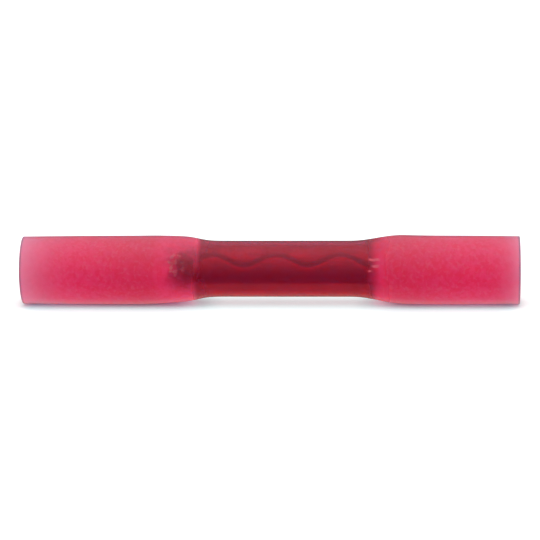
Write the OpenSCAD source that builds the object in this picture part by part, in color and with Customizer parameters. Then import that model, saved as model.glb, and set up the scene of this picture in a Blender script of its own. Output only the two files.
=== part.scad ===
// Heat shrink butt connector for 0.5 to 1.5 mm2 wire.
// A dual-wall sleeve is shrunk at its waist onto a rolled crimp barrel with a wavy butt seam.
// The tube's axis is X, its middle is the origin, and the connector lies on its two wide ends.

/* [Sleeve] */
// Length of the heat shrink sleeve
sleeve_length = 37; // [32:0.5:45]
// Outside diameter where a wide end is fullest, next to its shoulder
crown_d = 5.14; // [5:0.02:5.6]
// How much less the outside diameter is at the two cut ends
mouth_draw = 0.12; // [0:0.02:0.3]
// Wall of the outer jacket at the wide ends
jacket_wall = 0.28; // [0.15:0.01:0.32]
// Depth of the flat that the soft wide ends take where they lie on a table
rest_flat_depth = 0.08; // [0.06:0.01:0.12]

/* [Waist] */
// Wall of the outer jacket where it is shrunk onto the barrel
waist_jacket_wall = 0.26; // [0.12:0.01:0.35]
// Thickness of the adhesive between the jacket and the barrel
waist_liner_wall = 0.235; // [0.08:0.01:0.3]
// Length of the left shoulder, from the fullest diameter to the straight waist
left_shoulder_length = 5.9; // [4.5:0.1:7.5]
// Share of the left shoulder's drop that is made in one short step, over the barrel's end
left_step_share = 0.5; // [0:0.05:0.8]
// Length of that step
left_step_length = 2.1; // [1.5:0.1:3]
// Distance from the step to the straight waist
left_step_lead = 0.8; // [0.2:0.1:1.5]
// Length of the right shoulder, which has no step
right_shoulder_length = 3.8; // [3.5:0.1:6]
// Length of barrel that lies outside the straight waist at the left
left_barrel_lead = 3.5; // [2.5:0.1:4.2]
// Length of barrel that lies outside the straight waist at the right
right_barrel_lead = 1.9; // [1.2:0.1:3]

/* [Adhesive liner] */
// Wall of the liner where a wide end is fullest; its bore takes the wire's insulation
liner_wall = 0.24; // [0.2:0.01:0.4]
// How late the liner's bore closes onto the barrel: 1 is an even S, more keeps it open for longer
liner_lag = 1.3; // [1:0.05:1.8]
// Distance from a cut end of the sleeve to the liner's own end
liner_setback = 0.35; // [0.1:0.05:1.5]
// Length of barrel at the left that stands clear of the liner
left_bare_length = 1.6; // [0.6:0.1:2]
// Length of barrel at the right that stands clear of the liner
right_bare_length = 0.4; // [0.2:0.1:1]

/* [Crimp barrel] */
// Length of the barrel
barrel_length = 15; // [12:0.5:17]
// Outside diameter of the barrel
barrel_d = 3.2; // [2.9:0.05:3.4]
// Bore of the barrel, where the bare conductors go
barrel_bore_d = 1.7; // [1.4:0.05:2.3]
// Distance of the barrel's middle from the sleeve's middle
barrel_shift = 0.5; // [0:0.1:1]
// Lead-in chamfer at the two mouths of the bore
bore_chamfer = 0.22; // [0.1:0.02:0.3]
// Radius of the rounded outer edges
edge_r = 0.16; // [0.05:0.01:0.25]

/* [Wire stop] */
// Opening of the ring that stops the conductors at the barrel's middle
stop_d = 0.7; // [0.4:0.05:1]
// Width of the ring's flat crest
stop_crest = 0.4; // [0.2:0.05:1]
// Length of each sloping flank of the ring
stop_flank = 0.35; // [0.2:0.05:0.8]

/* [Butt seam] */
// Gap between the two edges of the rolled sheet
seam_gap = 0.1; // [0.06:0.01:0.16]
// Length of one wave of the interlocking edges
seam_wave_length = 4.74; // [3:0.02:6]
// Height of the wave, from trough to crest
seam_wave_height = 0.88; // [0.4:0.02:1.2]
// Angle of the seam above the horizontal on the front side, in degrees
seam_turn = 38; // [0:1:60]
// Width of the shallow groove that the rolled-over lips leave along the seam
seam_lip_width = 0.46; // [0.2:0.01:0.6]
// Depth of that groove
seam_lip_depth = 0.08; // [0.03:0.01:0.12]

/* [Hidden] */
$fn = 96;

// Straight pieces in each shoulder, in each end's gentle draw to its mouth, in an edge and in a wave
shoulder_steps = 12;
draw_steps = 4;
edge_steps = 3;
wave_steps = 14;
// How far a cutting shape reaches past what it cuts
overcut = 1;

mouth_x = sleeve_length / 2;
liner_end_x = mouth_x - liner_setback;
crown_r = crown_d / 2;
mouth_r = (crown_d - mouth_draw) / 2;
liner_bore_r = crown_r - jacket_wall - liner_wall;
barrel_r = barrel_d / 2;
bore_r = barrel_bore_d / 2;
stop_r = stop_d / 2;
barrel_left_x = barrel_shift - barrel_length / 2;
barrel_right_x = barrel_shift + barrel_length / 2;
waist_left_x = barrel_left_x + left_barrel_lead;
waist_right_x = barrel_right_x - right_barrel_lead;
step_right_x = waist_left_x - left_step_lead;
step_left_x = step_right_x - left_step_length;
crown_left_x = waist_left_x - left_shoulder_length;
crown_right_x = waist_right_x + right_shoulder_length;
hug_left_x = barrel_left_x + left_bare_length;
hug_right_x = barrel_right_x - right_bare_length;
waist_r = barrel_r + waist_liner_wall + waist_jacket_wall;

// 0 to 1 along an S that starts and ends flat
function eased(t) = let (u = max(0, min(1, t))) u * u * (3 - 2 * u);
function mix(a, b, t) = a + (b - a) * t;
function reversed(points) = [for (i = [len(points) - 1:-1:0]) points[i]];

// How far the tube at x has been drawn in, from 0 at a wide end to 1 at the waist
function drawn_in(x) =
    x < waist_left_x ?
        mix(eased((x - crown_left_x) / left_shoulder_length),
            eased((x - step_left_x) / left_step_length), left_step_share) :
    eased((crown_right_x - x) / right_shoulder_length);

// Radius of a wide end at x: fullest at its shoulder and drawn in a little towards its mouth
function end_r(x) =
    let (along = x < crown_left_x ? (crown_left_x - x) / (mouth_x + crown_left_x) :
                 x > crown_right_x ? (x - crown_right_x) / (mouth_x - crown_right_x) : 0)
    mix(crown_r, mouth_r, along * along);

// Outer face of the jacket, and the face where the jacket meets the liner
function outer_r(x) = mix(end_r(x), waist_r, drawn_in(x));
function middle_r(x) = outer_r(x) - mix(jacket_wall, waist_jacket_wall, drawn_in(x));

// Inner face of the liner: a straight bore at each end, closing onto the barrel
function closed(x) =
    let (t = x < hug_left_x ? (x - crown_left_x) / (hug_left_x - crown_left_x) :
             x > hug_right_x ? (crown_right_x - x) / (crown_right_x - hug_right_x) : 1)
    eased(pow(max(0, t), liner_lag));
function inner_r(x) = mix(liner_bore_r, barrel_r, closed(x));

// Places along the tube where its section changes, from the left mouth to the right one
function spread(a, b, steps) = [for (i = [0:steps - 1]) mix(a, b, i / steps)];
wall_stations = concat(
    [-mouth_x],
    spread(-liner_end_x, crown_left_x, draw_steps),
    spread(crown_left_x, waist_left_x, shoulder_steps),
    [waist_left_x],
    spread(waist_right_x, crown_right_x, shoulder_steps),
    spread(crown_right_x, liner_end_x, draw_steps),
    [liner_end_x, mouth_x]
);
bore_stations = concat(
    [-liner_end_x],
    spread(crown_left_x, hug_left_x, shoulder_steps),
    [hug_left_x],
    spread(hug_right_x, crown_right_x, shoulder_steps),
    [crown_right_x, liner_end_x]
);

// Turns a profile of [radius, place along the tube] points about the X axis
module turned(profile) {
    rotate([0, 90, 0])
        rotate_extrude()
            polygon(profile);
}

// Outer jacket of red polyolefin
module sleeve() {
    outer = [for (x = wall_stations) [outer_r(x), x]];
    inner = [for (x = wall_stations) [middle_r(x), x]];
    color([0.9, 0.25, 0.4, 0.6])
        difference() {
            turned(concat(outer, reversed(inner)));
            table_flat();
        }
}

// What the table presses flat, along the whole tube; the waist is too high to reach it
module table_flat() {
    translate([-mouth_x - overcut, -crown_r, -crown_r - overcut])
        cube([sleeve_length + 2 * overcut, crown_d, overcut + rest_flat_depth]);
}

// Hot-melt adhesive that lines the jacket and grips the barrel
module adhesive_liner() {
    outer = [for (x = wall_stations) if (abs(x) < mouth_x) [middle_r(x), x]];
    inner = [for (x = bore_stations) [inner_r(x), x]];
    color([0.95, 0.55, 0.65, 0.6])
        turned(concat(outer, reversed(inner)));
}

// Half of the barrel's wall, from the stop's crest to its mouth at the right
half_barrel_profile = concat(
    [[stop_r, stop_crest / 2], [bore_r, stop_crest / 2 + stop_flank],
     [bore_r, barrel_length / 2 - bore_chamfer], [bore_r + bore_chamfer, barrel_length / 2]],
    [for (i = [0:edge_steps])
        let (turn = 90 * (1 - i / edge_steps))
        [barrel_r - edge_r + edge_r * cos(turn), barrel_length / 2 - edge_r + edge_r * sin(turn)]]
);
barrel_profile = concat(half_barrel_profile, [for (p = reversed(half_barrel_profile)) [p[0], -p[1]]]);

// Band of the given width that follows the seam's wave along the whole barrel and past its ends
module seam_band(width) {
    reach = barrel_length / 2 + overcut;
    step = seam_wave_length / wave_steps;
    count = ceil(reach / step);
    line = [for (i = [-count:count]) [i * step, seam_wave_height / 2 * cos(360 * i / wave_steps)]];
    lower = [for (p = line) [p[0], p[1] - width / 2]];
    upper = [for (p = line) [p[0], p[1] + width / 2]];
    polygon(concat(lower, reversed(upper)));
}

// Cuts from one distance off the axis to past the outer face, on the side where the seam is
module seam_cut(width, from_r) {
    rotate([90 - seam_turn, 0, 0])
        translate([0, 0, from_r])
            linear_extrude(barrel_r - from_r + overcut)
                seam_band(width);
}

// Barrel rolled from tinned sheet until its wavy edges meet, with a wire stop inside
module crimp_barrel() {
    color([0.78, 0.76, 0.74])
        translate([barrel_shift, 0, 0])
            difference() {
                turned(barrel_profile);
                seam_cut(seam_gap, 0);
                seam_cut(seam_lip_width, barrel_r - seam_lip_depth);
            }
}

sleeve();
adhesive_liner();
crimp_barrel();
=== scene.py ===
"""The looks of a heat shrink butt connector: red sleeve, adhesive liner and tinned crimp barrel.

Lengths in the names that end in _MM are millimetres; the model itself is in metres.
"""
import math

import bpy
import numpy as np
from mathutils import Euler, Matrix, Vector


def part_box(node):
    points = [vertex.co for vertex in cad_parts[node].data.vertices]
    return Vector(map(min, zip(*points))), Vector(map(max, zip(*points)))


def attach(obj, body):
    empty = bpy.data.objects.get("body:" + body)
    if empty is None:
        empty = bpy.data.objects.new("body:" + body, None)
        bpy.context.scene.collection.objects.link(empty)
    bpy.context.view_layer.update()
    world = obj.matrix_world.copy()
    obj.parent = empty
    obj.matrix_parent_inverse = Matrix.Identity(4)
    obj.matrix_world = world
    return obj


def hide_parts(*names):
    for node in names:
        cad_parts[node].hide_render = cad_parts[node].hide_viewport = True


MM = 0.001

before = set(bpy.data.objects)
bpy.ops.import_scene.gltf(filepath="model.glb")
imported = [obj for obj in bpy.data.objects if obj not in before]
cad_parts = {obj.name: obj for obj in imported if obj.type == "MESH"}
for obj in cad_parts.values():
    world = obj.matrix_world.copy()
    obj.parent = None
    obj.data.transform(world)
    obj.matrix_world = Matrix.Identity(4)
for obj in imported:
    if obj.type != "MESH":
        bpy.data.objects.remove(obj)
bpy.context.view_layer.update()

# The frame gives the outer sizes
SLEEVE_LOW, SLEEVE_HIGH = (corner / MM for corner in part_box("sleeve"))
LINER_LOW, LINER_HIGH = (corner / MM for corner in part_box("adhesive_liner"))
BARREL_LOW, BARREL_HIGH = (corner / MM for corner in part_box("crimp_barrel"))
MOUTH_X_MM = SLEEVE_HIGH.x
LINER_END_X_MM = LINER_HIGH.x
CROWN_R_MM = SLEEVE_HIGH.z
FLOOR_Z_MM = SLEEVE_LOW.z
BARREL_LEFT_MM, BARREL_RIGHT_MM = BARREL_LOW.x, BARREL_HIGH.x
BARREL_R_MM = BARREL_HIGH.z

# Walls and lengths, as in the part's source
MOUTH_R_MM = 2.51
JACKET_WALL_MM, WAIST_JACKET_WALL_MM, WAIST_LINER_WALL_MM = 0.28, 0.26, 0.235
LINER_BORE_R_MM = 2.05
LEFT_LEAD_MM, RIGHT_LEAD_MM = 3.5, 1.9
LEFT_SHOULDER_MM, RIGHT_SHOULDER_MM = 5.9, 3.8
LEFT_STEP_SHARE, LEFT_STEP_MM, LEFT_STEP_LEAD_MM = 0.5, 2.1, 0.8
LINER_LAG, MENISCUS_SHARE = 2.2, 0.08
LEFT_BARE_MM, RIGHT_BARE_MM = 1.6, 0.4
BORE_R_MM, STOP_R_MM = 0.85, 0.35
STOP_CREST_MM, STOP_FLANK_MM = 0.4, 0.35
BORE_CHAMFER_MM, EDGE_R_MM = 0.22, 0.16
SEAM_GAP_MM = 0.08
# The two lips roll over into the gap, each as (width, depth)
SEAM_UPPER_LIP_MM, SEAM_LOWER_LIP_MM = (0.22, 0.18), (0.3, 0.13)
SEAM_WAVE_MM, SEAM_HEIGHT_MM = 4.74, 0.88
SEAM_TURN_DEG = 38

# How the real one strays from its drawing: the waist sits high in the wide ends' line
WAIST_LIFT_MM = 0.1
SOFTENING_MM = 0.5
LIFT_LEFT_MM, LIFT_RIGHT_MM, LIFT_RUN_MM = -10.5, 12.5, 5.5
# Neighbouring plastics overlap by this much, so that light passes from one to the next without an air gap
WETTING_MM = 0.01

WAIST_LEFT_MM = BARREL_LEFT_MM + LEFT_LEAD_MM
WAIST_RIGHT_MM = BARREL_RIGHT_MM - RIGHT_LEAD_MM
CROWN_LEFT_MM = WAIST_LEFT_MM - LEFT_SHOULDER_MM
CROWN_RIGHT_MM = WAIST_RIGHT_MM + RIGHT_SHOULDER_MM
HUG_LEFT_MM = BARREL_LEFT_MM + LEFT_BARE_MM
HUG_RIGHT_MM = BARREL_RIGHT_MM - RIGHT_BARE_MM
STEP_LEFT_MM = WAIST_LEFT_MM - LEFT_STEP_LEAD_MM - LEFT_STEP_MM
WAIST_R_MM = BARREL_R_MM + WAIST_LINER_WALL_MM + WAIST_JACKET_WALL_MM

AROUND = 192

# The sky as (degrees above the horizon in front, level): what lights matt faces, and what shiny ones mirror
MATT_SKY = ((-180, 1.45), (180, 1.45))
SHINY_SKY = (
    (-180, 0.25),
    (-145, 0.4),
    (-125, 0.85),
    (-107, 0.48),
    (-85, 0.38),
    (-56, 0.36),
    (-51, 0.03),
    (-15, 0.03),
    (10, 0.15),
    (30, 0.3),
    (47, 0.42),
    (65, 0.56),
    (85, 0.82),
    (135, 0.62),
    (150, 0.42),
    (160, 0.25),
    (180, 0.25),
)
SHINY_TINT, LOW_TINT = (0.92, 0.95, 1.0), (1.0, 0.56, 0.42)
# Where painted glints stand for light caught by trapped air at the barrel's right mouth, each as (left end, right
# end, height, half width)
GLINTS = ((7.15, 8.3, 1.2, 0.15), (7.4, 8.25, 0.76, 0.15), (7.1, 7.75, 0.36, 0.12))
# The pale colour of adhesive scraps, also given to the painted glints, and the painted shade along the two cut ends
SCRAP_AND_GLINT_COLOUR, CUT_EDGE_SHADE = (0.92, 0.33, 0.38), (0.42, 0.17, 0.28)
FLOOR_WAIST_GLOW, FLOOR_END_GLOW = 0.45, 0.28
FLOOR_CAST_UNDER, FLOOR_CAST_AROUND = 1.8, 0.3


def mix(a, b, t):
    return a + (b - a) * t


def eased(t):
    """0 to 1 along an S that starts and ends flat."""
    u = np.clip(t, 0, 1)
    return u * u * (3 - 2 * u)


def drawn_in(x):
    """How far the tube at x has been drawn in, from 0 at a wide end to 1 at the waist."""
    gentle = eased((x - CROWN_LEFT_MM) / LEFT_SHOULDER_MM)
    step = eased((x - STEP_LEFT_MM) / LEFT_STEP_MM)
    right = eased((CROWN_RIGHT_MM - x) / RIGHT_SHOULDER_MM)
    return np.minimum(mix(gentle, step, LEFT_STEP_SHARE), right)


def drawn_r(x):
    left = np.clip((CROWN_LEFT_MM - x) / (MOUTH_X_MM + CROWN_LEFT_MM), 0, 1)
    right = np.clip((x - CROWN_RIGHT_MM) / (MOUTH_X_MM - CROWN_RIGHT_MM), 0, 1)
    end = mix(CROWN_R_MM, MOUTH_R_MM, np.maximum(left, right) ** 2)
    return mix(end, WAIST_R_MM, drawn_in(x))


def outer_r(x):
    """The drawn radius, softened: shrunk plastic has no sudden change of curve."""
    steps = np.linspace(-1, 1, 9)
    weights = 1 - 0.9 * steps**2
    return sum(w * drawn_r(x + s * SOFTENING_MM) for w, s in zip(weights, steps)) / weights.sum()


def middle_r(x):
    return outer_r(x) - mix(JACKET_WALL_MM, WAIST_JACKET_WALL_MM, drawn_in(x))


def inner_r(x):
    """The liner's inner face closes slowly onto the barrel, and meets it in a blunt edge."""
    left = (x - CROWN_LEFT_MM) / (HUG_LEFT_MM - CROWN_LEFT_MM)
    right = (CROWN_RIGHT_MM - x) / (CROWN_RIGHT_MM - HUG_RIGHT_MM)
    reached = np.clip(np.minimum(left, right), 0, 1)
    closed = mix(reached**LINER_LAG, eased((reached - 1) / MENISCUS_SHARE + 1), 0.25)
    return mix(LINER_BORE_R_MM, BARREL_R_MM, closed)


def lift(x):
    """How far the tube's own line has risen at x; it starts to rise before the shoulders."""
    left = eased((x - LIFT_LEFT_MM) / LIFT_RUN_MM)
    right = eased((LIFT_RIGHT_MM - x) / LIFT_RUN_MM)
    return WAIST_LIFT_MM * np.minimum(left, right)


def flat_of(x, turn):
    """How far the table presses the tube in at x, at a turn measured from straight down."""
    reach = np.maximum(np.cos(turn), 0.2)
    depth = outer_r(x) + FLOOR_Z_MM / reach
    soft = 0.03
    return 0.5 * (depth + np.sqrt(depth * depth + soft * soft)) * (reach > 0.5)


def mesh_object(name, vertices, faces):
    mesh = bpy.data.meshes.new(name)
    mesh.from_pydata([tuple(v) for v in np.asarray(vertices) * MM], [], faces)
    mesh.update()
    mesh.shade_smooth()
    piece = bpy.data.objects.new(name, mesh)
    bpy.context.scene.collection.objects.link(piece)
    return piece


def ring_faces(rings, around):
    """Quads between closed rings of points, the last ring joined to the first."""
    faces = []
    for i in range(rings):
        j = (i + 1) % rings
        for k in range(around):
            n = (k + 1) % around
            faces.append((i * around + k, i * around + n, j * around + n, j * around + k))
    return faces


def tube_wall(name, profile):
    """A closed wall of revolution round X. profile is (x, radius) all round the wall's section."""
    turns = np.linspace(0, 2 * math.pi, AROUND, endpoint=False)
    vertices = []
    for x, r in profile:
        pressed = r - flat_of(x, turns)
        rise = lift(x)
        vertices += [(x, p * math.sin(t), rise - p * math.cos(t)) for p, t in zip(pressed, turns)]
    return mesh_object(name, vertices, ring_faces(len(profile), AROUND))


def edge_curve(x_end, r_low, r_high, out, bevel, steps=3):
    """Section points across a cut end, from r_low to r_high, with slightly rounded corners."""
    points = []
    for i in range(steps + 1):
        turn = math.pi / 2 * i / steps
        points.append((x_end - out * bevel * (1 - math.sin(turn)), r_low + bevel * (1 - math.cos(turn))))
    for i in range(steps + 1):
        turn = math.pi / 2 * i / steps
        points.append((x_end - out * bevel * (1 - math.cos(turn)), r_high - bevel * (1 - math.sin(turn))))
    return points


def wall_section(low_x, high_x, outside, inside, bevel, count=240):
    """The whole section of a tube's wall: outside from left to right, then inside back."""
    xs = np.linspace(low_x + bevel, high_x - bevel, count)[1:-1]
    right = edge_curve(high_x, inside(high_x), outside(high_x), 1, bevel)
    left = edge_curve(low_x, inside(low_x), outside(low_x), -1, bevel)
    return (
        [(x, outside(x)) for x in xs]
        + right[::-1]
        + [(x, inside(x)) for x in xs[::-1]]
        + left
    )


def make_sleeve():
    section = wall_section(-MOUTH_X_MM, MOUTH_X_MM, outer_r, middle_r, 0.03)
    return tube_wall("shrink_sleeve", section)


def make_liner():
    def outside(x):
        return middle_r(x) + WETTING_MM

    def inside(x):
        return inner_r(x) - WETTING_MM * (inner_r(x) < BARREL_R_MM + WETTING_MM)

    section = wall_section(-LINER_END_X_MM, LINER_END_X_MM, outside, inside, 0.05)
    turns = np.linspace(0, 2 * math.pi, AROUND, endpoint=False)
    vertices = []
    for n, (x, r) in enumerate(section):
        pressed = r - flat_of(x, turns)
        # the waist's lift fades to nothing at the barrel's own surface
        share = (r - BARREL_R_MM) / (outer_r(x) - BARREL_R_MM)
        rise = lift(x) * np.clip(share * 1.6, 0, 1)
        vertices += [(x, p * math.sin(t), rise - p * math.cos(t)) for p, t in zip(pressed, turns)]
    return mesh_object("adhesive_lining", vertices, ring_faces(len(section), AROUND))


def barrel_outer_r(x):
    """Outer radius at x, with rounded edges at the two ends."""
    inset = np.minimum(x - BARREL_LEFT_MM, BARREL_RIGHT_MM - x)
    along = np.clip(1 - inset / EDGE_R_MM, 0, 1)
    return BARREL_R_MM - EDGE_R_MM * (1 - np.sqrt(np.clip(1 - along**2, 0, 1)))


def barrel_inner_r(x):
    """Bore radius at x, with lead-in chamfers and the wire stop's ring."""
    inset = np.minimum(x - BARREL_LEFT_MM, BARREL_RIGHT_MM - x)
    chamfer = np.clip(BORE_CHAMFER_MM - inset, 0, None)
    off_middle = np.abs(x - (BARREL_LEFT_MM + BARREL_RIGHT_MM) / 2)
    ring = np.clip(1 - (off_middle - STOP_CREST_MM / 2) / STOP_FLANK_MM, 0, 1)
    ring = ring * ring * (3 - 2 * ring)
    return BORE_R_MM + chamfer - (BORE_R_MM - STOP_R_MM) * ring


def barrel_stations():
    """Places along the barrel: close together at the ends and at the stop."""
    left = BARREL_LEFT_MM + EDGE_R_MM * (1 - np.cos(np.linspace(0, math.pi / 2, 7)))
    right = BARREL_LEFT_MM + BARREL_RIGHT_MM - left[::-1]
    return np.concatenate([left, np.linspace(left[-1], right[0], 202)[1:-1], right])


def lip_points(half, lip, outer, steps=8):
    """A lip that rolls over from the outer face into the gap, as (turn from the gap's middle, radius)."""
    width, depth = lip
    points = []
    for i in range(steps + 1):
        share = i / steps
        points.append(((half + width * (1 - share)) / outer, outer - depth * share**1.4))
    return points


def seam_section(outer, inner, arc_points=200):
    """One closed C of the rolled wall as (turn from the gap's middle, radius), from the upper lip round."""
    half = SEAM_GAP_MM / 2
    upper = lip_points(half, SEAM_UPPER_LIP_MM, outer)
    lower = [(2 * math.pi - t, r) for t, r in lip_points(half, SEAM_LOWER_LIP_MM, outer)]
    upper_wall = [(half / r, r) for r in (mix(upper[-1][1], inner, share) for share in (0.4, 0.8))]
    lower_wall = [(2 * math.pi - half / r, r) for r in (mix(lower[-1][1], inner, share) for share in (0.4, 0.8))]
    outside = [(t, outer) for t in np.linspace(upper[0][0], lower[0][0], arc_points)]
    inner_start = min(half / inner, 1.0)
    inside = [(t, inner) for t in np.linspace(2 * math.pi - inner_start, inner_start, arc_points)]
    return outside + lower[1:] + lower_wall + inside + upper_wall[::-1] + upper[:0:-1]


def make_barrel():
    """The rolled barrel: a C section carried along X, turned to follow the seam's wave."""
    middle = (BARREL_LEFT_MM + BARREL_RIGHT_MM) / 2
    vertices = []
    stations = barrel_stations()
    for x in stations:
        wave = SEAM_HEIGHT_MM / 2 * math.cos(2 * math.pi * (x - middle) / SEAM_WAVE_MM)
        up = math.radians(SEAM_TURN_DEG) + math.asin(wave / BARREL_R_MM)
        section = seam_section(float(barrel_outer_r(x)), float(barrel_inner_r(x)))
        for turn, r in section:
            angle = up + turn
            vertices.append((x, -r * math.cos(angle), r * math.sin(angle)))
    around = len(section)
    rings = len(stations)
    faces = ring_faces(rings, around)[: (rings - 1) * around]
    # the two end faces join each point of the outer side to its partner on the inner side
    half = around // 2
    for base, flip in ((0, False), ((rings - 1) * around, True)):
        for k in range(half - 1):
            quad = (base + k, base + k + 1, base + around - 2 - k, base + around - 1 - k)
            faces.append(quad[::-1] if flip else quad)
    return mesh_object("rolled_barrel", vertices, faces)


class Nodes:
    """Short ways to write a material's node tree."""

    def __init__(self, name):
        self.material = bpy.data.materials.new(name)
        self.material.use_nodes = True
        self.tree = self.material.node_tree
        self.shader = self.tree.nodes["Principled BSDF"]
        self.place = self.add("ShaderNodeTexCoord").outputs["Object"]

    def add(self, kind, **settings):
        node = self.tree.nodes.new(kind)
        for key, value in settings.items():
            setattr(node, key, value)
        return node

    def join(self, source, target):
        self.tree.links.new(source, target)

    def set(self, **values):
        for key, value in values.items():
            self.shader.inputs[key.replace("_", " ")].default_value = value

    def math(self, operation, *values, clamp=False):
        node = self.add("ShaderNodeMath", operation=operation, use_clamp=clamp)
        for n, value in enumerate(values):
            if isinstance(value, (int, float)):
                node.inputs[n].default_value = value
            else:
                self.join(value, node.inputs[n])
        return node.outputs[0]

    def scaled_place(self, scale=(1, 1, 1)):
        """Object coordinates in millimetres, stretched by scale."""
        node = self.add("ShaderNodeMapping")
        self.join(self.place, node.inputs["Vector"])
        node.inputs["Scale"].default_value = [s / MM for s in scale]
        return node.outputs[0]

    def noise(self, per_mm, detail=2.0, roughness=0.5, scale=(1, 1, 1), distortion=0.0):
        node = self.add("ShaderNodeTexNoise")
        self.join(self.scaled_place(scale), node.inputs["Vector"])
        node.inputs["Scale"].default_value = per_mm
        node.inputs["Detail"].default_value = detail
        node.inputs["Roughness"].default_value = roughness
        node.inputs["Distortion"].default_value = distortion
        return node.outputs["Fac"]

    def ramp(self, source, low, high, to_low=0.0, to_high=1.0, smooth=True):
        node = self.add("ShaderNodeMapRange", interpolation_type="SMOOTHSTEP" if smooth else "LINEAR")
        if isinstance(source, (int, float)):
            node.inputs["Value"].default_value = source
        else:
            self.join(source, node.inputs["Value"])
        for key, value in zip(("From Min", "From Max", "To Min", "To Max"), (low, high, to_low, to_high)):
            node.inputs[key].default_value = value
        return node.outputs[0]

    def blend(self, factor, one, other):
        """A colour between one and other."""
        node = self.add("ShaderNodeMix", data_type="RGBA")
        self.join(factor, node.inputs["Factor"])
        for key, value in ((6, one), (7, other)):
            if isinstance(value, tuple):
                node.inputs[key].default_value = (*value, 1)
            else:
                self.join(value, node.inputs[key])
        return node.outputs[2]

    def bump(self, height, strength, distance_mm):
        node = self.add("ShaderNodeBump")
        node.inputs["Strength"].default_value = strength
        node.inputs["Distance"].default_value = distance_mm * MM
        self.join(height, node.inputs["Height"])
        self.join(node.outputs[0], self.shader.inputs["Normal"])

    def axis(self, index):
        """The place along X, Y or Z, in millimetres."""
        node = self.add("ShaderNodeSeparateXYZ")
        self.join(self.scaled_place(), node.inputs[0])
        return node.outputs[index]

    def product(self, *values):
        result = values[0]
        for value in values[1:]:
            result = self.math("MULTIPLY", result, value)
        return result

    def front(self):
        """1 on the side that faces the camera, 0 behind."""
        return self.ramp(self.axis(1), -0.5, 0.0, 1.0, 0.0)

    def window(self):
        """How clear the plastic is over the barrel's bare left end, on the front: 0 to 1, with ragged edges."""
        ragged = self.noise(2.2, 3.0)
        height = self.math("ADD", self.axis(2), self.ramp(ragged, 0.3, 0.7, -0.25, 0.25))
        above = self.ramp(height, 1.1, 2.5, 1.0, 0.0)
        below = self.ramp(height, -1.9, 0.15)
        along = self.math("ADD", self.axis(0), self.ramp(ragged, 0.3, 0.7, 0.3, -0.3))
        inside = self.ramp(along, BARREL_LEFT_MM - 1.1, BARREL_LEFT_MM + 0.7)
        return self.product(above, below, inside, self.front())

    def zones(self, end, flare, ring, waist, late=0.0):
        """A value along the tube: at the wide ends, over the barrel's bare end, at the grip's rim, at the waist."""
        x = self.axis(0)
        value = self.math("MULTIPLY_ADD", self.window(), flare - end, end)
        grip_x = self.math("SUBTRACT", x, self.ramp(self.axis(2), -1.0, 2.0, -0.15, 0.1))
        for low, high, share in ((-0.3, 0.3, 0.85), (0.0, 1.4, 1.0)):
            step = self.ramp(grip_x, HUG_LEFT_MM + low, HUG_LEFT_MM + high, 0.0, share)
            value = self.math("ADD", value, self.math("MULTIPLY", step, self.math("SUBTRACT", waist, value)))
        rise = self.ramp(x, HUG_LEFT_MM - 0.35, HUG_LEFT_MM)
        fall = self.ramp(x, HUG_LEFT_MM, HUG_LEFT_MM + 0.4, 1.0, 0.0)
        rim = self.product(rise, fall, self.ramp(self.axis(2), 0.0, 1.2))
        value = self.math("MULTIPLY_ADD", rim, ring, value)
        ragged_x = self.math("ADD", x, self.ramp(self.noise(0.8, 0.0), 0.3, 0.7, -0.15, 0.15))
        released = self.ramp(ragged_x, HUG_RIGHT_MM + late - 0.45, HUG_RIGHT_MM + late + 0.95, 0.0, end - waist)
        return self.math("ADD", value, released)

    def curl(self, x_mm, z_mm, radius_mm, width_mm, opening):
        """1 along a C-shaped thread on the front, open towards the right; 0 elsewhere."""
        across = self.math("SUBTRACT", self.axis(0), x_mm)
        up = self.math("SUBTRACT", self.axis(2), z_mm)
        reach = self.math("SQRT", self.math("ADD", self.product(across, across), self.product(up, up)))
        off = self.math("ABSOLUTE", self.math("SUBTRACT", reach, radius_mm))
        thread = self.ramp(off, width_mm * 0.4, width_mm, 1.0, 0.0)
        closed = self.ramp(across, radius_mm * (opening - 0.2), radius_mm * (opening + 0.2), 1.0, 0.0)
        return self.product(thread, closed, self.front())

    def specks(self):
        """Scraps of set adhesive at the barrel's left mouth, on the front."""
        spots = self.ramp(self.noise(3.6, 2.0), 0.52, 0.62)
        x, z = self.axis(0), self.axis(2)
        left = self.ramp(x, BARREL_LEFT_MM - 0.7, BARREL_LEFT_MM - 0.3)
        right = self.ramp(x, BARREL_LEFT_MM + 0.5, BARREL_LEFT_MM + 0.9, 1.0, 0.0)
        low = self.ramp(z, -0.2, 0.2)
        high = self.ramp(z, 1.4, 1.8, 1.0, 0.0)
        return self.product(spots, left, right, low, high, self.front())

    def glint_dash(self, x_low, x_high, z_mm, width_mm):
        """1 along one short level dash of painted glint on the front; 0 elsewhere."""
        x = self.axis(0)
        wavy = self.math("ADD", self.axis(2), self.ramp(self.noise(2.4, 1.0), 0.3, 0.7, -0.03, 0.03))
        off = self.math("ABSOLUTE", self.math("SUBTRACT", wavy, z_mm))
        along = self.product(self.ramp(x, x_low, x_low + 0.35), self.ramp(x, x_high - 0.35, x_high, 1.0, 0.0))
        return self.product(self.ramp(off, width_mm * 0.3, width_mm, 1.0, 0.0), along, self.front())

    def glints(self):
        """Short dashes of painted glint at the barrel's right mouth, where light catches trapped air."""
        dashes = [self.glint_dash(*place) for place in GLINTS]
        return self.math("MAXIMUM", self.math("MAXIMUM", dashes[0], dashes[1]), dashes[2])

    def from_mouth(self):
        """1 at the two cut ends, falling to 0 well inside them, and sooner at the right."""
        x = self.axis(0)
        fall = self.ramp(x, -1.0, 1.0, 4.0, 9.0)
        return self.math("POWER", self.ramp(self.math("ABSOLUTE", x), MOUTH_X_MM - 7, MOUTH_X_MM, smooth=False), fall)


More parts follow.
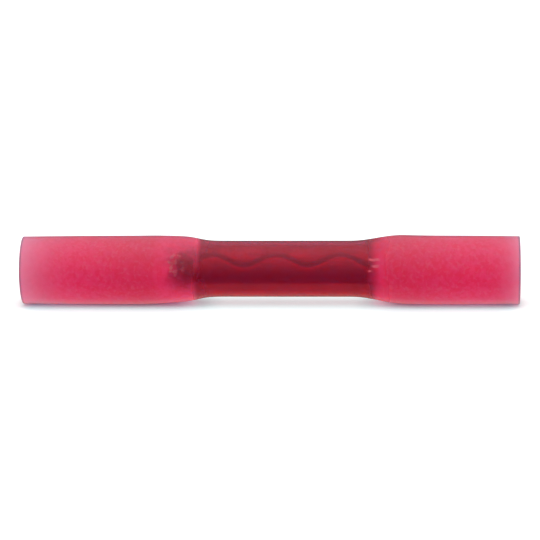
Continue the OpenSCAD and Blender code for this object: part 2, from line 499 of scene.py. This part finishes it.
def plastic(name, pale, deep, mouth, milky, rough, coat, mottle, bump, scraps_and_glints):
    """Translucent plastic: part scatters light like milk, part lets it through."""
    n = Nodes(name)
    spots = n.noise(2.6, 3.0, 0.6)
    body = n.blend(n.ramp(spots, 0.35, 0.65), pale, deep)
    reach = n.math("ABSOLUTE", n.axis(0))
    # painted shade: the colour darkens over the shoulders
    shoulder_shade = n.product(n.ramp(reach, 9.0, 15.0, 0.4, 0.0), n.ramp(reach, 7.5, 9.0))
    body = n.blend(shoulder_shade, body, (0.7 * deep[0], 0.6 * deep[1], 0.5 * deep[2]))
    flecks = n.product(n.ramp(n.noise(4.0, 1.0), 0.5, 0.72, 0.0, 0.12), n.ramp(reach, 7.5, 9.0))
    body = n.blend(flecks, body, mouth)
    # painted light: the colour pales towards the two cut ends, where light from the open mouths scatters out
    body = n.blend(n.from_mouth(), body, mouth)
    # painted shade: a darker rim along the two cut ends
    body = n.blend(n.ramp(reach, MOUTH_X_MM - 0.2, MOUTH_X_MM - 0.06), body, CUT_EDGE_SHADE)
    cloudy = n.math("MULTIPLY", n.zones(*milky), n.ramp(spots, 0.3, 0.7, 1 - mottle, 1 + mottle, smooth=False))
    if scraps_and_glints:
        # pale adhesive scraps at the left mouth and painted glints at the right mouth, shown in their pale colour and
        # as milkier plastic
        curl = n.math("MULTIPLY", n.curl(-6.9, 0.74, 0.34, 0.16, 0.3), n.ramp(n.noise(5.0, 2.0), 0.35, 0.6))
        marks = n.math("MAXIMUM", n.math("MAXIMUM", curl, n.specks()), n.math("MULTIPLY", n.glints(), 1.15))
        body = n.blend(n.math("MULTIPLY", marks, scraps_and_glints), body, SCRAP_AND_GLINT_COLOUR)
        cloudy = n.math("MAXIMUM", cloudy, n.math("MULTIPLY", marks, scraps_and_glints))
    n.join(body, n.shader.inputs["Base Color"])
    clear = n.math("SUBTRACT", 1.0, cloudy, clamp=True)
    n.join(clear, n.shader.inputs["Transmission Weight"])
    n.join(n.zones(rough[0], rough[0], 0.0, rough[1], late=0.5), n.shader.inputs["Roughness"])
    n.join(n.zones(coat, coat, 0.0, 0.0, late=0.8), n.shader.inputs["Coat Weight"])
    n.set(Coat_Roughness=0.3)
    n.set(IOR=1.5, Subsurface_Weight=1.0, Subsurface_Scale=0.35 * MM)
    n.shader.inputs["Subsurface Radius"].default_value = (1.0, 0.12, 0.2)
    n.bump(n.noise(3.5, 3.0, 0.55), 0.5, bump)
    return n.material


def off_seam(n):
    """Distance along the barrel's face from the seam's line, in millimetres, more above it."""
    middle = (BARREL_LEFT_MM + BARREL_RIGHT_MM) / 2
    phase = n.math("MULTIPLY", n.math("SUBTRACT", n.axis(0), middle), 2 * math.pi / SEAM_WAVE_MM)
    wave = n.math("MULTIPLY", n.math("COSINE", phase), SEAM_HEIGHT_MM / 2 / BARREL_R_MM)
    line = n.math("ADD", n.math("ARCSINE", wave), math.radians(SEAM_TURN_DEG))
    turn = n.math("ARCTAN2", n.axis(2), n.math("MULTIPLY", n.axis(1), -1.0))
    return n.math("MULTIPLY", n.math("SUBTRACT", turn, line), BARREL_R_MM)


def tinned_metal():
    """Dull tin plate with smears and faint marks along the rolled sheet, a painted shadow in and above the seam's
    gap, and a painted highlight along the lip below it.
    """
    n = Nodes("tin_plate")
    marks = n.noise(3.0, 4.0, 0.6, scale=(0.25, 1.5, 1.5))
    smears = n.noise(0.9, 3.0, 0.6)
    tone = n.math("ADD", n.math("MULTIPLY", marks, 0.4), n.math("MULTIPLY", smears, 0.6))
    plate = n.blend(n.ramp(tone, 0.38, 0.62), (0.6, 0.59, 0.58), (0.92, 0.91, 0.89))
    off = off_seam(n)
    # painted shade in and just above the seam's gap, and a painted highlight along the lower lip's edge
    seam_shade = n.product(n.ramp(off, -0.12, -0.04), n.ramp(off, 0.06, 0.24, 1.0, 0.0))
    seam_highlight = n.product(n.ramp(off, -0.46, -0.3), n.ramp(off, -0.18, -0.1, 1.0, 0.0))
    plate = n.blend(n.math("MULTIPLY", seam_shade, 0.75), plate, (0.16, 0.15, 0.15))
    n.join(n.blend(seam_highlight, plate, (1.0, 0.99, 0.97)), n.shader.inputs["Base Color"])
    n.join(n.ramp(tone, 0.38, 0.62, 0.2, 0.12), n.shader.inputs["Roughness"])
    n.set(Metallic=1.0)
    n.bump(marks, 0.3, 0.01)
    return n.material


def sky_ramp(tree, turn, stops, tint, low_tint):
    """The sky's colours by height. Stops below the horizon in front take low_tint, the rest take tint."""
    ramp = tree.nodes.new("ShaderNodeValToRGB")
    tree.links.new(turn, ramp.inputs[0])
    elements = ramp.color_ramp.elements
    while len(elements) < len(stops):
        elements.new(0.5)
    for element, (degrees, level) in zip(elements, stops):
        element.position = (degrees + 180) / 360
        colour = low_tint if degrees < -51 else tint
        element.color = (*(level * part for part in colour), 1)
    return ramp.outputs[0]


def make_sky():
    """White to the camera. Shiny faces mirror a studio's lights and darks, and matt ones get an even light."""
    world = bpy.data.worlds.new("studio")
    bpy.context.scene.world = world
    world.use_nodes = True
    tree = world.node_tree

    def add(kind, **settings):
        node = tree.nodes.new(kind)
        for key, value in settings.items():
            setattr(node, key, value)
        return node

    def choose(test, one, other):
        node = add("ShaderNodeMix", data_type="RGBA")
        tree.links.new(test, node.inputs["Factor"])
        tree.links.new(other, node.inputs[6])
        if isinstance(one, float):
            node.inputs[7].default_value = (one, one, one, 1)
        else:
            tree.links.new(one, node.inputs[7])
        return node.outputs[2]

    place = add("ShaderNodeTexCoord")
    axes = add("ShaderNodeSeparateXYZ")
    tree.links.new(place.outputs["Generated"], axes.inputs[0])
    front = add("ShaderNodeMath", operation="MULTIPLY")
    front.inputs[1].default_value = -1.0
    tree.links.new(axes.outputs[1], front.inputs[0])
    height = add("ShaderNodeMath", operation="ARCTAN2")
    tree.links.new(axes.outputs[2], height.inputs[0])
    tree.links.new(front.outputs[0], height.inputs[1])
    turn = add("ShaderNodeMapRange")
    tree.links.new(height.outputs[0], turn.inputs["Value"])
    turn.inputs["From Min"].default_value = -math.pi
    turn.inputs["From Max"].default_value = math.pi

    shiny = sky_ramp(tree, turn.outputs[0], SHINY_SKY, SHINY_TINT, LOW_TINT)
    matt = sky_ramp(tree, turn.outputs[0], MATT_SKY, (1, 1, 1), (1, 1, 1))
    ray = add("ShaderNodeLightPath")
    lit = choose(ray.outputs["Is Diffuse Ray"], matt, shiny)
    seen = choose(ray.outputs["Is Camera Ray"], 1.0, lit)
    tree.links.new(seen, tree.nodes["Background"].inputs["Color"])


def make_floor():
    """A white table top that keeps the soft shadow."""
    mesh = bpy.data.meshes.new("floor")
    reach, z = 1.5, FLOOR_Z_MM * MM
    mesh.from_pydata([(-reach, -reach, z), (reach, -reach, z), (reach, reach, z), (-reach, reach, z)], [], [(0, 1, 2, 3)])
    floor = bpy.data.objects.new("floor", mesh)
    bpy.context.scene.collection.objects.link(floor)
    floor.visible_glossy = False
    floor.visible_transmission = False
    n = Nodes("white_floor")
    n.set(Roughness=0.9)
    n.shader.inputs["Specular IOR Level"].default_value = 0.0
    off_middle = n.math("ABSOLUTE", n.math("SUBTRACT", n.axis(0), (WAIST_LEFT_MM + WAIST_RIGHT_MM) / 2))
    off_axis = n.math("ABSOLUTE", n.axis(1))
    at_ends = n.ramp(off_middle, 4.5, 9.0)
    past_mouth = n.ramp(n.math("ABSOLUTE", n.axis(0)), MOUTH_X_MM - 0.3, MOUTH_X_MM + 0.7)
    end_glow = n.math("MAXIMUM", n.ramp(off_axis, 0.9, 2.6), past_mouth)
    end_glow = n.math("MULTIPLY", end_glow, FLOOR_END_GLOW)
    glow = n.math("ADD", end_glow, n.math("MULTIPLY", n.math("SUBTRACT", FLOOR_WAIST_GLOW, end_glow), n.math("SUBTRACT", 1.0, at_ends)))
    # to the camera the glow is painted light that lightens the table's shadow, more under the waist than beside the
    # wide ends; to other rays it lights the tube from below
    seen = n.add("ShaderNodeLightPath").outputs["Is Camera Ray"]
    cast = n.ramp(off_axis, 1.0, 4.0, FLOOR_CAST_UNDER, FLOOR_CAST_AROUND)
    cast = n.math("MULTIPLY", cast, n.ramp(n.math("ABSOLUTE", n.axis(0)), MOUTH_X_MM - 3, MOUTH_X_MM, 1.0, 0.6))
    cast_glow = n.math("MULTIPLY", n.math("SUBTRACT", 1.0, seen), cast)
    n.join(n.math("MULTIPLY_ADD", seen, glow, cast_glow), n.shader.inputs["Emission Strength"])
    # the red that the plastic throws on the table is evened out, as a camera's white balance does
    beside = n.ramp(n.math("ABSOLUTE", n.axis(0)), MOUTH_X_MM - 0.9, MOUTH_X_MM + 0.4, 1.0, 0.0)
    tint = n.blend(n.ramp(off_axis, 0.8, 3.2), (0.65, 0.9, 0.9), (0.78, 0.9, 0.9))
    n.join(n.blend(beside, (0.9, 0.9, 0.9), tint), n.shader.inputs["Base Color"])
    near = n.product(at_ends, beside, n.ramp(off_axis, 1.5, 3.5, 1.0, 0.0))
    n.join(n.blend(near, (1.0, 1.0, 1.0), (0.45, 1.0, 1.0)), n.shader.inputs["Emission Color"])
    floor.data.materials.append(n.material)


def make_camera():
    """A long lens a little above the table and slightly round to the right, held level with the tube."""
    distance, elevation, azimuth = 0.2, math.radians(12), math.radians(3.2)
    aim = Vector((-0.03, 0, 0)) * MM
    width_mm = 540 * 0.0745
    data = bpy.data.cameras.new("camera")
    camera = bpy.data.objects.new("camera", data)
    bpy.context.scene.collection.objects.link(camera)
    turned = Euler((math.pi / 2 - elevation, 0, azimuth)).to_matrix()
    roll = Matrix.Rotation(-math.atan(math.sin(azimuth) * math.sin(elevation)), 3, "Z")
    camera.matrix_world = Matrix.Translation(aim + turned @ Vector((0, 0, distance))) @ (turned @ roll).to_4x4()
    data.sensor_width = 36
    data.lens = 36 * distance / (width_mm * MM)
    data.clip_start = 0.01
    bpy.context.scene.camera = camera


make_sky()
make_floor()
make_camera()

sleeve = make_sleeve()
sleeve.data.materials.append(
    plastic(
        "red_polyolefin",
        pale=(0.93, 0.047, 0.175),
        deep=(0.88, 0.031, 0.12),
        mouth=(0.85, 0.27, 0.43),
        milky=(0.62, 0.16, 0.14, 0.13),
        rough=(0.3, 0.1),
        coat=0.7,
        mottle=0.05,
        bump=0.01,
        scraps_and_glints=0.42,
    )
)
liner = make_liner()
liner.data.materials.append(
    plastic(
        "hot_melt",
        pale=(0.96, 0.4, 0.46),
        deep=(0.9, 0.28, 0.35),
        mouth=(0.96, 0.6, 0.7),
        milky=(0.55, 0.06, 0.1, 0.05),
        rough=(0.4, 0.1),
        coat=0.0,
        mottle=0.1,
        bump=0.02,
        scraps_and_glints=0.0,
    )
)
barrel = make_barrel()
barrel.data.materials.append(tinned_metal())

for piece, node, slot in (
    (sleeve, "sleeve", "sleeve"),
    (liner, "adhesive_liner", "adhesive"),
    (barrel, "crimp_barrel", "barrel"),
):
    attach(piece, "root")
    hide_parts(node)

bpy.context.scene.view_settings.view_transform = "Standard"
